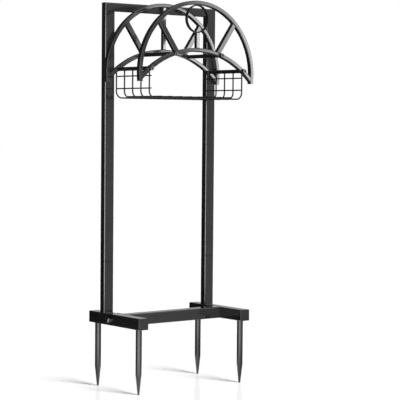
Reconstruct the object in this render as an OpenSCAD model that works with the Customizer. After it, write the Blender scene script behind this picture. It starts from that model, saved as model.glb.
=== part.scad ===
// Freestanding hose holder: two posts on feet with ground spikes, a front and a rear
// arch joined by four rods, and a wire basket hung between the arches.
// Millimetres. +Z is up from the spike tips, +Y is to the back, +X is to the right.

/* [Uprights] */
// Height of the upright frame, from the spike tips to the top of its top bar
frame_h = 1174; // [1100:1:1300]
// Distance between the centre lines of the two posts
post_spacing = 393; // [350:1:440]
// Width of a post, seen from the front
post_w = 35; // [28:1:40]
// Depth of a post and of the top bar, seen from the side
post_d = 22; // [18:1:28]
// Wall of the post tubes, the top bar and the sleeves
post_wall = 1.2; // [1:0.1:2]
// Outer corner radius of the post tubes and the top bar
post_corner = 3; // [2.5:0.1:4]
// Height of the top bar
top_bar_h = 25.5; // [20:0.5:34]
// Height of the joint where the upper posts stand on the lower ones
joint_z = 389; // [330:1:470]
// Height and depth of the rounded-off rim on the two tube ends that meet at a post joint
joint_relief = 0.5; // [0.2:0.1:0.8]
// Length of the sleeve inside each post joint
sleeve_l = 120; // [80:1:160]
// Clearance between a sleeve and the post tubes around it, on each side
sleeve_gap = 0.25; // [0.1:0.05:0.5]

/* [Feet and cross bar] */
// Side of the square tube of the feet and the cross bar
foot_size = 35; // [30:0.5:42]
// Length of a foot over its end caps
foot_l = 260.5; // [240:0.5:300]
// How far a foot reaches behind the centre of the posts
foot_rear = 69; // [60:1:80]
// Height of the underside of the feet above the spike tips
foot_z = 196.5; // [160:0.5:240]
// Wall of the foot tubes and the cross bar
foot_wall = 1.5; // [1.2:0.1:2.5]
// Outer corner radius of the foot tubes and the cross bar
foot_corner = 3; // [2.6:0.1:5]
// Thickness of the rim of a foot's end cap
cap_rim = 2.5; // [2:0.1:4]
// Radius of the rounded outer edges of an end cap
cap_edge = 1.5; // [0.5:0.1:1.9]
// Length of the plug that holds an end cap in its tube
cap_plug = 9; // [5:0.5:10]
// Wall of the hollow plug of an end cap
cap_wall = 2; // [1.5:0.1:3]
// Distance from the centre of the posts forward to the centre of the cross bar
cross_bar_set = 69; // [60:0.5:90]
// Thickness of the plates welded to the ends of the cross bar
end_plate_t = 4; // [3:0.5:6]

/* [Spikes] */
// Diameter of a ground spike
spike_d = 18.5; // [16:0.5:24]
// Length of the pointed end of a spike
spike_point = 60; // [40:1:80]
// Width of the blunt tip of a spike
spike_tip_d = 6; // [3:0.5:10]
// Distance from the end of a foot to the centre of its spike
spike_inset = 24.5; // [22:0.5:40]
// Diameter of the threaded stud on top of a spike
stud_d = 12; // [8:0.5:14]

/* [Arches] */
// Distance from the front of the posts to the front of the front arch
head_depth = 183; // [160:0.5:220]
// How far the hoops rise above the top bar
hoop_rise = 6; // [2:0.5:12]
// How far the hoops reach past the outer side of each post
hoop_overhang = 6; // [3:0.5:14]
// How far the ends of a hoop reach below its centre
hoop_drop = 26; // [15:1:40]
// Thickness of the bar of the hoops and saddle arcs, seen from the front
arch_bar = 12; // [11:0.5:16]
// Depth of the bar of the hoops and saddle arcs, front to back
arch_d = 16; // [15:0.5:20]
// Wall of the arch tubes
arch_wall = 1.2; // [1:0.1:1.8]
// Outer corner radius of the arch tubes
arch_corner = 2.4; // [2:0.1:3]
// Height of the top of a saddle arc above the ends of its hoop
saddle_rise = 104; // [90:1:120]

/* [Spokes and ring] */
// Width of a slanted spoke, seen from the front
spoke_w = 15; // [10:0.5:18]
// Depth of a slanted spoke, front to back
spoke_d = 14; // [9:0.5:15]
// How far inside the upper rods the slanted spokes meet the saddle arc
spoke_set = 8; // [0:0.5:16]
// Lean of a slanted spoke from upright, in degrees
spoke_lean = 35; // [25:1:42]
// Side of the square middle spokes
middle_spoke = 12; // [8:0.5:14]
// Wall of the spoke tubes
spoke_wall = 1.2; // [1:0.1:2]
// Outer diameter of the ring at the top of the front arch
ring_d = 84; // [60:1:100]
// Thickness of the strip that the ring is rolled from
ring_t = 3; // [2:0.5:5]
// Width of the ring's strip, front to back
ring_w = 10; // [6:0.5:14]

/* [Rods] */
// Diameter of the four rods that join the two arches
rod_d = 12; // [11:0.5:14]
// Distance from the side of a hoop in to each lower rod
rod_lower_set = 42; // [34:0.5:50]
// Distance across from each lower rod to the upper rod beside it
rod_step = 89; // [75:0.5:100]

/* [Wire basket] */
// Diameter of the bent wires of the basket
u_wire_d = 4.5; // [3:0.5:6]
// Diameter of the straight wires of the basket
long_wire_d = 4; // [3:0.5:5]
// Radius of the bends, to the centre of the wire
u_bend_r = 20; // [12:1:24]
// Depth of the basket, from the lower rods down to its floor
basket_h = 86.5; // [80:0.5:110]
// Height of the lower side wire above the floor
side_wire_low = 28; // [25:0.5:35]
// Height of the upper side wire above the floor
side_wire_high = 65; // [50:0.5:72]
// Number of straight wires in the floor
floor_wire_count = 8; // [4:1:8]
// Distance from each lower rod in to the outermost floor wire
floor_wire_set = 45; // [32:0.5:60]

/* [Fasteners] */
// Diameter of the bolts that hold the front arch on the rods
rod_bolt_d = 8; // [5:0.5:8]
// Diameter of the head of a rod bolt
rod_head_d = 13; // [11:0.5:15]
// Height of the head of a rod bolt
rod_head_h = 8; // [4:0.5:9]
// Depth to which a rod bolt is screwed into its rod
rod_thread = 20; // [12:1:30]
// Diameter of the bolts that hold the cross bar
foot_bolt_d = 10; // [6:0.5:10]
// Diameter of the head of a foot bolt
foot_head_d = 16; // [14:0.5:18]
// Height of the head of a foot bolt
foot_head_h = 10; // [6:0.5:12]
// Diameter of the washer under the head of a foot bolt
foot_washer_d = 18; // [17:0.5:24]
// Thickness of that washer
foot_washer_t = 2.5; // [1.5:0.1:3]
// Diameter of the bolts that hold the rear arch on the posts
head_bolt_d = 5; // [4:0.5:5]
// Diameter of the screws that hold the upper posts on their sleeves
sleeve_screw_d = 5; // [4:0.5:6]

/* [Hidden] */
$fn = 96;

// Clearances: at a weld on a curved face, around a bolt in a drilled hole, in a thread
// and around the plug of an end cap
weld_gap = 0.1;
hole_gap = 0.3;
thread_gap = 0.05;
cap_gap = 0.1;

// Finishes
coat = "#26272a";
plastic = "#1a1a1b";
plated = "#8e8f92";

// Places front to back: the whole part is centred on Y = 0
post_y = (post_d/2 + head_depth + rod_head_h - foot_rear)/2;
post_front = post_y - post_d/2;
post_back = post_y + post_d/2;
foot_back = post_y + foot_rear;
foot_front = foot_back - foot_l;
spike_places = [foot_front + spike_inset, foot_back - spike_inset];
arch_front = post_front - head_depth;
front_arch_y = arch_front + arch_d/2;
rear_arch_y = post_front - arch_d/2;
cross_bar_y = post_y - cross_bar_set;

// Places across
post_x = post_spacing/2;
frame_half = post_x + post_w/2;
foot_outer = post_x + foot_size/2;
foot_inner = post_x - foot_size/2;
cross_bar_half = foot_inner - end_plate_t;

// Heights
foot_top = foot_z + foot_size;
foot_mid = foot_z + foot_size/2;
top_bar_z = frame_h - top_bar_h;

// Slanted line on which a post meets the top bar, drawn a little longer than the joint
mitre_from = -0.1;
mitre_to = 1.1;
function mitre_end(sx, k) = [sx*(frame_half - post_w + k*post_w), top_bar_z + k*top_bar_h];

// Hoops: circles round an axis along Y
hoop_top = frame_h + hoop_rise;
hoop_r = frame_half + hoop_overhang;
hoop_z = hoop_top - hoop_r;
hoop_mid_r = hoop_r - arch_bar/2;
hoop_in_r = hoop_r - arch_bar;
hoop_end = hoop_z - hoop_drop;

// Saddle arcs: their underside runs from one hoop end to the other
saddle_top = hoop_end + saddle_rise;
saddle_half = sqrt(pow(hoop_mid_r, 2) - pow(hoop_drop, 2));
saddle_clear = saddle_rise - arch_bar;
saddle_low_r = (pow(saddle_half, 2) + pow(saddle_clear, 2))/(2*saddle_clear);
saddle_mid_r = saddle_low_r + arch_bar/2;
saddle_r = saddle_low_r + arch_bar;
saddle_z = saddle_top - saddle_r;
function on_saddle(x, r) = saddle_z + sqrt(pow(r, 2) - pow(x, 2));
function on_hoop(x, r) = hoop_z + sqrt(pow(r, 2) - pow(x, 2));

ring_r = ring_d/2;
ring_z = hoop_top - arch_bar - weld_gap - ring_r;

// Bolts of the rear arch, behind its saddle arc and its hoop
head_bolt_heights = [on_saddle(post_x, saddle_mid_r), on_hoop(post_x, hoop_mid_r)];

// Rods, on the middle line of the saddle arcs, and the feet of the slanted spokes
rod_lower_x = hoop_r - rod_lower_set;
rod_upper_x = rod_lower_x - rod_step;
spoke_foot_x = rod_upper_x - spoke_set;
rod_places = [
    for (x = [-rod_upper_x, rod_upper_x, -rod_lower_x, rod_lower_x])
        [x, on_saddle(x, saddle_mid_r)]
];
rods_y = arch_front + arch_d;
rods_l = head_depth - 2*arch_d;

// Basket
u_wire_count = 5;
rod_lower_z = on_saddle(rod_lower_x, saddle_mid_r);
floor_z = rod_lower_z - basket_h;
u_wire_step = (rear_arch_y - front_arch_y)/(u_wire_count - 1);
side_wire_x = rod_lower_x - u_wire_d/2 - long_wire_d/2 - weld_gap;
floor_wire_z = floor_z + u_wire_d/2 + long_wire_d/2 + weld_gap;
floor_wire_step = 2*(rod_lower_x - floor_wire_set)/(floor_wire_count - 1);
wire_over = 3;

// Nuts, sockets and small fastener sizes
spike_nut_af = 19;
spike_nut_h = 8;
foot_nut_af = 17;
foot_nut_h = 8;
nut_clear = 1.5;
foot_bolt_y = cross_bar_y + foot_size/2 + foot_nut_af/2 + nut_clear;
end_plate_over = 14;
hex_head_af = 8;
hex_head_h = 4;
head_flange_d = 12;
head_flange_t = 1.2;
rivet_nut_d = 7;
rivet_nut_l = 10;
head_bolt_end = 11;
sleeve_screw_z = joint_z + sleeve_l/4;
sleeve_screw_l = 7;
sleeve_head_d = 9;
sleeve_head_h = 3;
foot_bolt_tail = 2;

// Flat outlines

// Rounded rectangle, centred
module rounded_rect(w, h, r) {
    if (r > 0.2) {
        square([w - 2*r, h], center = true);
        square([w, h - 2*r], center = true);
        for (sx = [-1, 1], sy = [-1, 1])
            translate([sx*(w/2 - r), sy*(h/2 - r)])
                circle(r);
    } else {
        square([w, h], center = true);
    }
}

// Cross-section of a rectangular tube with rounded corners
module tube_section(w, h, wall, r) {
    difference() {
        rounded_rect(w, h, r);
        rounded_rect(w - 2*wall, h - 2*wall, r - wall);
    }
}

// Solid building blocks

// Round bar along Y, from y on, at x and z
module bar_y(x, y, z, r, l) {
    translate([x, y, z])
        rotate([-90, 0, 0])
            cylinder(r = r, h = l);
}

// Round bar along X towards the side that sx names, from x on
module bar_x(sx, x, y, z, r, l) {
    translate([sx*x, y, z])
        rotate([0, sx*90, 0])
            cylinder(r = r, h = l);
}

// Hexagonal prism along Y, with flats above and below
module hex_y(x, y, z, af, l) {
    translate([x, y, z])
        rotate([-90, 0, 0])
            cylinder(d = af/cos(30), h = l, $fn = 6);
}

// Disc round an axis along Y, thick enough to cut any piece of one arch
module arch_disc(r, z, y) {
    bar_y(0, y - arch_d, z, r, 2*arch_d, $fn = 180);
}

// Cap screw along +Z from the front of its head, which has a hexagonal socket
module cap_screw(d, head_d, head_h, l) {
    socket_af = 0.5*head_d;
    socket_l = 0.5*head_h;
    difference() {
        union() {
            cylinder(d = head_d, h = head_h);
            translate([0, 0, head_h])
                cylinder(d = d, h = l);
        }
        translate([0, 0, -1])
            cylinder(d = socket_af/cos(30), h = socket_l + 1, $fn = 6);
    }
}

// Base

module foot(sx) {
    difference() {
        translate([sx*post_x, foot_front + cap_rim, foot_mid])
            rotate([-90, 0, 0])
                linear_extrude(foot_l - 2*cap_rim)
                    tube_section(foot_size, foot_size, foot_wall, foot_corner);
        for (y = spike_places)
            translate([sx*post_x, y, foot_z - 1])
                cylinder(r = stud_d/2 + hole_gap, h = foot_wall + 2);
        bar_x(sx, foot_inner - 1, foot_bolt_y, foot_mid, foot_bolt_d/2 + hole_gap, foot_size + 2);
    }
}

module foot_left() { color(coat) foot(-1); }
module foot_right() { color(coat) foot(1); }

// Outer part of an end cap, its face on z = 0 with rounded edges all round
module cap_face() {
    intersection() {
        linear_extrude(cap_rim)
            rounded_rect(foot_size, foot_size, foot_corner);
        cap_edge_prism();
        rotate([0, 0, 90])
            cap_edge_prism();
    }
}

// Prism along Y, rounded at its two edges on z = 0
module cap_edge_prism() {
    translate([0, foot_size, cap_rim])
        rotate([90, 0, 0])
            linear_extrude(2*foot_size)
                rounded_rect(foot_size, 2*cap_rim, cap_edge);
}

// Plastic cap in each end of each foot, with a hollow plug
module foot_end_caps() {
    inner = foot_size - 2*foot_wall - 2*cap_gap;
    color(plastic)
        for (sx = [-1, 1], back = [false, true])
            translate([sx*post_x, back ? foot_back : foot_front, foot_mid])
                rotate([back ? 90 : -90, 0, 0]) {
                    cap_face();
                    translate([0, 0, cap_rim])
                        linear_extrude(cap_plug)
                            tube_section(inner, inner, cap_wall, foot_corner - foot_wall);
                }
}

module cross_bar() {
    color(coat)
        translate([-cross_bar_half, cross_bar_y, foot_mid])
            rotate([90, 0, 90])
                linear_extrude(2*cross_bar_half)
                    tube_section(foot_size, foot_size, foot_wall, foot_corner);
}

// Plates that close the ends of the cross bar and reach back to the foot bolts
module cross_bar_end_plates() {
    front = cross_bar_y - foot_size/2;
    back = foot_bolt_y + end_plate_over;
    color(coat)
        for (sx = [-1, 1])
            difference() {
                translate([sx > 0 ? cross_bar_half : -foot_inner, front, foot_z])
                    cube([end_plate_t, back - front, foot_size]);
                bar_x(sx, cross_bar_half - 1, foot_bolt_y, foot_mid,
                      foot_bolt_d/2 + hole_gap, end_plate_t + 2);
            }
}

// Bolts through the feet and the end plates of the cross bar
module foot_bolts() {
    shank = foot_washer_t + foot_size + end_plate_t + foot_nut_h + foot_bolt_tail;
    color(plated)
        for (sx = [-1, 1])
            translate([sx*(foot_outer + foot_washer_t + foot_head_h), foot_bolt_y, foot_mid])
                rotate([0, -sx*90, 0])
                    cap_screw(foot_bolt_d, foot_head_d, foot_head_h, shank);
}

module foot_washers() {
    color(plated)
        for (sx = [-1, 1])
            difference() {
                bar_x(sx, foot_outer, foot_bolt_y, foot_mid, foot_washer_d/2, foot_washer_t);
                bar_x(sx, foot_outer - 1, foot_bolt_y, foot_mid,
                      foot_bolt_d/2 + hole_gap, foot_washer_t + 2);
            }
}

// Nuts welded to the inner side of the end plates
module foot_bolt_nuts() {
    color(plated)
        for (sx = [-1, 1])
            translate([sx*cross_bar_half, foot_bolt_y, foot_mid])
                rotate([0, -sx*90, 0])
                    difference() {
                        cylinder(d = foot_nut_af/cos(30), h = foot_nut_h, $fn = 6);
                        translate([0, 0, -1])
                            cylinder(r = foot_bolt_d/2 + thread_gap, h = foot_nut_h + 2);
                    }
}

// Spike with a threaded stud that screws up into the foot
module spike(sx, y) {
    color(coat)
        translate([sx*post_x, y, 0]) {
            cylinder(d1 = spike_tip_d, d2 = spike_d, h = spike_point);
            translate([0, 0, spike_point])
                cylinder(d = spike_d, h = foot_z - spike_point);
            translate([0, 0, foot_z])
                cylinder(d = stud_d, h = foot_wall + spike_nut_h + 2);
        }
}

module spike_front_left() { spike(-1, spike_places[0]); }
module spike_front_right() { spike(1, spike_places[0]); }
module spike_rear_left() { spike(-1, spike_places[1]); }
module spike_rear_right() { spike(1, spike_places[1]); }

// Nuts welded to the floor of the feet for the spikes' studs
module spike_nuts() {
    color(plated)
        for (sx = [-1, 1], y = spike_places)
            translate([sx*post_x, y, foot_z + foot_wall])
                difference() {
                    rotate([0, 0, 30])
                        cylinder(d = spike_nut_af/cos(30), h = spike_nut_h, $fn = 6);
                    translate([0, 0, -1])
                        cylinder(r = stud_d/2 + thread_gap, h = spike_nut_h + 2);
                }
}

// Uprights

module post_tube(sx, z, l) {
    translate([sx*post_x, post_y, z])
        linear_extrude(l)
            tube_section(post_w, post_d, post_wall, post_corner);
}

// Shallow cut round a post at its joint, for the rounded-off rims of both tube ends
module joint_cut(sx, z) {
    r = post_corner - joint_relief;
    translate([sx*post_x, post_y, z])
        linear_extrude(joint_relief)
            difference() {
                square([post_w + 2, post_d + 2], center = true);
                rounded_rect(post_w - 2*joint_relief, post_d - 2*joint_relief, r);
            }
}

// Three-cornered prism along Y, with its points given as x and z
module slant_prism(points) {
    translate([0, post_y + post_d, 0])
        rotate([90, 0, 0])
            linear_extrude(2*post_d)
                polygon(points);
}

module lower_post(sx) {
    color(coat)
        difference() {
            post_tube(sx, foot_top, joint_z - foot_top);
            joint_cut(sx, joint_z - joint_relief);
        }
}

module lower_post_left() { lower_post(-1); }
module lower_post_right() { lower_post(1); }

// Upper post: cut slanting at the top, drilled at the back for its sleeve screw and right
// through for the head bolts
module upper_post(sx) {
    a = mitre_end(sx, mitre_from);
    b = mitre_end(sx, mitre_to);
    color(coat)
        difference() {
            post_tube(sx, joint_z, frame_h - joint_z);
            slant_prism([a, b, [a[0], b[1]]]);
            joint_cut(sx, joint_z);
            bar_y(sx*post_x, post_y, sleeve_screw_z, sleeve_screw_d/2 + hole_gap, post_d);
            for (z = head_bolt_heights)
                bar_y(sx*post_x, post_front - 1, z, head_bolt_d/2 + hole_gap, post_d + 2);
        }
}

module upper_post_left() { upper_post(-1); }
module upper_post_right() { upper_post(1); }

// Inner tubes that line up the two sections of each post
module post_sleeves() {
    inset = 2*(post_wall + sleeve_gap);
    color(coat)
        for (sx = [-1, 1])
            difference() {
                translate([sx*post_x, post_y, joint_z - sleeve_l/2])
                    linear_extrude(sleeve_l)
                        tube_section(post_w - inset, post_d - inset, post_wall,
                                     post_corner - post_wall - sleeve_gap);
                bar_y(sx*post_x, post_y, sleeve_screw_z, sleeve_screw_d/2 + thread_gap, post_d);
            }
}

module sleeve_screws() {
    color(plated)
        for (sx = [-1, 1])
            translate([sx*post_x, post_back + sleeve_head_h, sleeve_screw_z])
                rotate([90, 0, 0])
                    cap_screw(sleeve_screw_d, sleeve_head_d, sleeve_head_h, sleeve_screw_l);
}

// Top bar, cut slanting at both ends to meet the posts
module top_bar() {
    color(coat)
        difference() {
            translate([-frame_half, post_y, top_bar_z + top_bar_h/2])
                rotate([90, 0, 90])
                    linear_extrude(2*frame_half)
                        tube_section(post_d, top_bar_h, post_wall, post_corner);
            for (sx = [-1, 1]) {
                a = mitre_end(sx, mitre_from);
                b = mitre_end(sx, mitre_to);
                slant_prism([a, b, [b[0], a[1]]]);
            }
        }
}

// Arches

// Arc of bar round an axis along Y: r is its outer radius, a its angle each side of upright
module arc_bar(r, a) {
    rotate([90, 0, 0])
        rotate([0, 0, 90 - a])
            rotate_extrude(angle = 2*a, $fn = 180)
                translate([r - arch_bar/2, 0])
                    children();
}

// Hoop, cut off level at its two ends; children() is the bar's cross-section
module hoop_shape(y, end_z) {
    drop_angle = 90 + asin(hoop_drop/hoop_in_r) + 2;
    difference() {
        translate([0, y, hoop_z])
            arc_bar(hoop_r, drop_angle)
                children();
        translate([-hoop_r - 1, y - arch_d, end_z - hoop_r])
            cube([2*hoop_r + 2, 2*arch_d, hoop_r]);
    }
}

module arch_section() { tube_section(arch_bar, arch_d, arch_wall, arch_corner); }

module hoop(y) {
    hoop_shape(y, hoop_end + arch_wall)
        arch_section();
}

// Saddle arc between the inner faces of its hoop
module saddle_arc(y) {
    span_angle = asin(min(1, hoop_r/saddle_r));
    intersection() {
        translate([0, y, saddle_z])
            arc_bar(saddle_r, span_angle)
                arch_section();
        arch_disc(hoop_in_r - weld_gap, hoop_z, y);
    }
}

// Slanted spoke, coped to the hoop above and to the saddle arc below
module slanted_spoke(sx, y) {
    color(coat)
        difference() {
            intersection() {
                translate([sx*spoke_foot_x, y, on_saddle(spoke_foot_x, saddle_r)])
                    rotate([0, sx*spoke_lean, 0])
                        translate([0, 0, -spoke_w])
                            linear_extrude(hoop_r)
                                tube_section(spoke_w, spoke_d, spoke_wall, spoke_wall + 0.5);
                arch_disc(hoop_in_r - weld_gap, hoop_z, y);
            }
            arch_disc(saddle_r + weld_gap, saddle_z, y);
        }
}

// Upright tube in the middle of an arch, before it is coped
module middle_tube(y, top) {
    translate([0, y, saddle_top - arch_bar])
        linear_extrude(top - saddle_top + arch_bar)
            tube_section(middle_spoke, middle_spoke, spoke_wall, spoke_wall + 0.5);
}

module rear_hoop() {
    color(coat)
        difference() {
            hoop(rear_arch_y);
            for (sx = [-1, 1])
                bar_y(sx*post_x, rear_arch_y, head_bolt_heights[1], rivet_nut_d/2 + hole_gap, arch_d);
        }
}

module rear_saddle_arc() {
    color(coat)
        difference() {
            saddle_arc(rear_arch_y);
            for (sx = [-1, 1])
                bar_y(sx*post_x, rear_arch_y, head_bolt_heights[0], rivet_nut_d/2 + hole_gap, arch_d);
        }
}

module rear_spoke_left() { slanted_spoke(-1, rear_arch_y); }
module rear_spoke_right() { slanted_spoke(1, rear_arch_y); }

module rear_spoke_middle() {
    color(coat)
        difference() {
            intersection() {
                middle_tube(rear_arch_y, hoop_top);
                arch_disc(hoop_in_r - weld_gap, hoop_z, rear_arch_y);
            }
            arch_disc(saddle_r + weld_gap, saddle_z, rear_arch_y);
        }
}

module front_hoop() { color(coat) hoop(front_arch_y); }

// Front saddle arc, drilled through for the four rod bolts
module front_saddle_arc() {
    color(coat)
        difference() {
            saddle_arc(front_arch_y);
            for (p = rod_places)
                bar_y(p[0], arch_front - 1, p[1], rod_bolt_d/2 + hole_gap, arch_d + 2);
        }
}

module front_spoke_left() { slanted_spoke(-1, front_arch_y); }
module front_spoke_right() { slanted_spoke(1, front_arch_y); }

module front_spoke_middle() {
    color(coat)
        difference() {
            middle_tube(front_arch_y, ring_z);
            arch_disc(saddle_r + weld_gap, saddle_z, front_arch_y);
            arch_disc(ring_r + weld_gap, ring_z, front_arch_y);
        }
}

// Ring of flat strip under the top of the front hoop
module front_ring() {
    color(coat)
        difference() {
            bar_y(0, front_arch_y - ring_w/2, ring_z, ring_r, ring_w);
            bar_y(0, front_arch_y - ring_w/2 - 1, ring_z, ring_r - ring_t, ring_w + 2);
        }
}

// Plates that close the cut ends of the hoops
module hoop_tip_plates() {
    color(coat)
        for (y = [front_arch_y, rear_arch_y])
            intersection() {
                hoop_shape(y, hoop_end)
                    rounded_rect(arch_bar, arch_d, arch_corner);
                translate([-hoop_r - 1, y - arch_d, hoop_end])
                    cube([2*hoop_r + 2, 2*arch_d, arch_wall]);
            }
}

// Rods and their bolts

// Rod welded to the rear arch, tapped at the front
module rod(i) {
    p = rod_places[i];
    color(coat)
        difference() {
            bar_y(p[0], rods_y, p[1], rod_d/2, rods_l);
            bar_y(p[0], rods_y - 1, p[1], rod_bolt_d/2 + thread_gap, rod_thread + 5);
        }
}

module rod_upper_left() { rod(0); }
module rod_upper_right() { rod(1); }
module rod_lower_left() { rod(2); }
module rod_lower_right() { rod(3); }

module rod_bolts() {
    color(plated)
        for (p = rod_places)
            translate([p[0], arch_front - rod_head_h, p[1]])
                rotate([-90, 0, 0])
                    cap_screw(rod_bolt_d, rod_head_d, rod_head_h, arch_d + rod_thread);
}

// Flanged bolts that pass forward through the posts into the rear arch
module head_bolts() {
    color(plated)
        for (sx = [-1, 1], z = head_bolt_heights) {
            bar_y(sx*post_x, post_front - head_bolt_end, z, head_bolt_d/2, head_bolt_end + post_d);
            bar_y(sx*post_x, post_back, z, head_flange_d/2, head_flange_t);
            hex_y(sx*post_x, post_back + head_flange_t, z, hex_head_af, hex_head_h);
        }
}

// Rivet nuts set in the back wall of the rear hoop and saddle arc
module head_rivet_nuts() {
    color(plated)
        for (sx = [-1, 1], z = head_bolt_heights)
            difference() {
                bar_y(sx*post_x, post_front - rivet_nut_l, z, rivet_nut_d/2, rivet_nut_l);
                bar_y(sx*post_x, post_front - rivet_nut_l - 1, z,
                      head_bolt_d/2 + thread_gap, rivet_nut_l + 2);
            }
}

// Wire basket

// Half of a bent wire: leg, bend and floor run to the middle
module wire_half(sx) {
    r = u_wire_d/2;
    flat = rod_lower_x - u_bend_r;
    translate([sx*rod_lower_x, 0, floor_z + u_bend_r])
        cylinder(r = r, h = basket_h - u_bend_r);
    translate([sx*flat, 0, floor_z + u_bend_r])
        rotate([90, 0, 0])
            rotate([0, 0, sx > 0 ? -90 : 180])
                rotate_extrude(angle = 90)
                    translate([u_bend_r, 0])
                        circle(r);
    bar_x(sx, 0, 0, floor_z, r, flat);
}

module bent_wire() {
    wire_half(-1);
    wire_half(1);
}

// The first and last bent wires end under the saddle arcs, the others under the lower rods
module basket_bent_wire(i) {
    y = front_arch_y + i*u_wire_step;
    color(coat)
        if (i == 0 || i == u_wire_count - 1)
            intersection() {
                translate([0, y, 0])
                    bent_wire();
                arch_disc(saddle_low_r - weld_gap, saddle_z, y);
            }
        else
            difference() {
                translate([0, y, 0])
                    bent_wire();
                for (sx = [-1, 1])
                    bar_y(sx*rod_lower_x, y - u_wire_d, rod_lower_z, rod_d/2 + weld_gap, 2*u_wire_d);
            }
}

module basket_bent_wire_1() { basket_bent_wire(0); }
module basket_bent_wire_2() { basket_bent_wire(1); }
module basket_bent_wire_3() { basket_bent_wire(2); }
module basket_bent_wire_4() { basket_bent_wire(3); }
module basket_bent_wire_5() { basket_bent_wire(4); }

// Straight wire from the first bent wire to the last
module long_wire(x, z) {
    bar_y(x, front_arch_y - wire_over, z, long_wire_d/2, rear_arch_y - front_arch_y + 2*wire_over);
}

module basket_side_wires() {
    color(coat)
        for (sx = [-1, 1], h = [side_wire_low, side_wire_high])
            long_wire(sx*side_wire_x, floor_z + h);
}

module basket_floor_wires() {
    color(coat)
        for (i = [0:floor_wire_count - 1])
            long_wire((i - (floor_wire_count - 1)/2)*floor_wire_step, floor_wire_z);
}

foot_left();
foot_right();
foot_end_caps();
cross_bar();
cross_bar_end_plates();
foot_bolts();
foot_washers();
foot_bolt_nuts();
spike_front_left();
spike_front_right();
spike_rear_left();
spike_rear_right();
spike_nuts();
lower_post_left();
lower_post_right();
post_sleeves();
sleeve_screws();
upper_post_left();
upper_post_right();
top_bar();
rear_hoop();
rear_saddle_arc();
rear_spoke_left();
rear_spoke_middle();
rear_spoke_right();
front_hoop();
front_saddle_arc();
front_spoke_left();
front_spoke_middle();
front_spoke_right();
front_ring();
hoop_tip_plates();
rod_upper_left();
rod_upper_right();
rod_lower_left();
rod_lower_right();
rod_bolts();
head_bolts();
head_rivet_nuts();
basket_bent_wire_1();
basket_bent_wire_2();
basket_bent_wire_3();
basket_bent_wire_4();
basket_bent_wire_5();
basket_side_wires();
basket_floor_wires();
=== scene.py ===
"""Freestanding hose holder: its finishes, weld beads, screws and studio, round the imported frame."""
import math

import bmesh
import bpy
from bpy.props import FloatProperty, FloatVectorProperty, IntProperty, PointerProperty
from mathutils import Matrix, Vector


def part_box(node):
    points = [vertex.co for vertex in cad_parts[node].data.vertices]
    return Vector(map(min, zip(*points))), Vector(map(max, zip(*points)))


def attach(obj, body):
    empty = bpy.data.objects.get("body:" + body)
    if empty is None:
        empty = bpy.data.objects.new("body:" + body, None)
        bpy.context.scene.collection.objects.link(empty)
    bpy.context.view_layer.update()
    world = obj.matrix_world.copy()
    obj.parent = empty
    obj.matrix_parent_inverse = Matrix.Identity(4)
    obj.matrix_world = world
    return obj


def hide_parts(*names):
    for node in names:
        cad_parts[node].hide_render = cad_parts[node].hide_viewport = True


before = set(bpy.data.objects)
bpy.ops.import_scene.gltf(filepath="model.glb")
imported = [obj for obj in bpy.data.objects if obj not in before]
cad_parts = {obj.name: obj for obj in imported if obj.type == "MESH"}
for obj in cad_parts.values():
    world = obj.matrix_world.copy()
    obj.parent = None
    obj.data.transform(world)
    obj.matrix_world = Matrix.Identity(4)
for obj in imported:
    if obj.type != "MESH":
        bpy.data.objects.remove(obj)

bl_info = {
    "name": "Freestanding Hose Holder",
    "version": (1, 0, 0),
    "blender": (4, 5, 0),
    "location": "View3D > Sidebar > Hose Holder",
    "description": "Dresses a tube stand with spoked arches and a wire basket",
    "category": "Object",
}

for spare in ("Cube", "Light", "Camera"):
    if spare in bpy.data.objects:
        bpy.data.objects.remove(bpy.data.objects[spare])
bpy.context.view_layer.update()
MM = 0.001

# Sections that the frame's boxes don't give
ARCH_BAR = 12*MM
SPOKE_WIDTH = 15*MM
SPOKE_DEPTH = 14*MM
SPOKE_CORNER = 1.7*MM
SPOKE_LEAN = math.radians(35)
SPOKE_SET = 8*MM
MIDDLE_SPOKE = 12*MM

# Screws and nuts: shank diameters, nut and flange sizes, the play round a thread or shank, the
# sockets as shares of their heads, the broken edges, and the steps round a turned shape
ROD_SCREW = 8*MM
FOOT_SCREW = 10*MM
SLEEVE_SCREW = 5*MM
HEAD_BOLT = 5*MM
FOOT_NUT_HEIGHT = 8*MM
SCREW_END = 2*MM
FLANGE_THICKNESS = 1.2*MM
FLANGE_HEXAGON = 8*MM
THREAD_GAP = 0.05*MM
WASHER_PLAY = 0.6*MM
SOCKET_SHARE = 0.5
DOME_SOCKET_SHARE = 0.375
SOCKET_POINT = 0.12
BREAK_EDGE = 0.3*MM
SHANK_POINT = 1*MM
ROUND_COUNT = 72
DOME_STEPS = 9
WASHER_SIDES = 64

# Basket: number of floor wires and of bent wires, radius of a straight wire, and the half
# sizes of the melt where two wires cross, with the steps from its top to its foot and round it
FLOOR_WIRES = 8
BENT_WIRES = 5
WIRE_RADIUS = 2*MM
MELT_REACH = (2.3*MM, 2.3*MM, 1.1*MM)
MELT_STEPS = 8
MELT_SIDES = 12

# Weld beads: how far they stop short of an edge, the sides of their section, the steps in a
# ripple, the share of the radius that an open end starts with and gains at each step, how far
# its nose reaches, the shares of the radius used on light seams and at the top corners, the
# distance of the ring's beads from its middle, and the steps round a rod and a wire
BEAD_INSET = 2*MM
BEAD_SIDES = 10
STEPS_PER_RIPPLE = 5
BEAD_START = 0.55
BEAD_GAIN = 0.15
BEAD_NOSE = 0.4
LIGHT_BEAD = 0.8
CORNER_BEAD = 0.7
RING_BEAD_SET = 5*MM
ROD_STEPS = 48
WIRE_STEPS = 32

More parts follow.
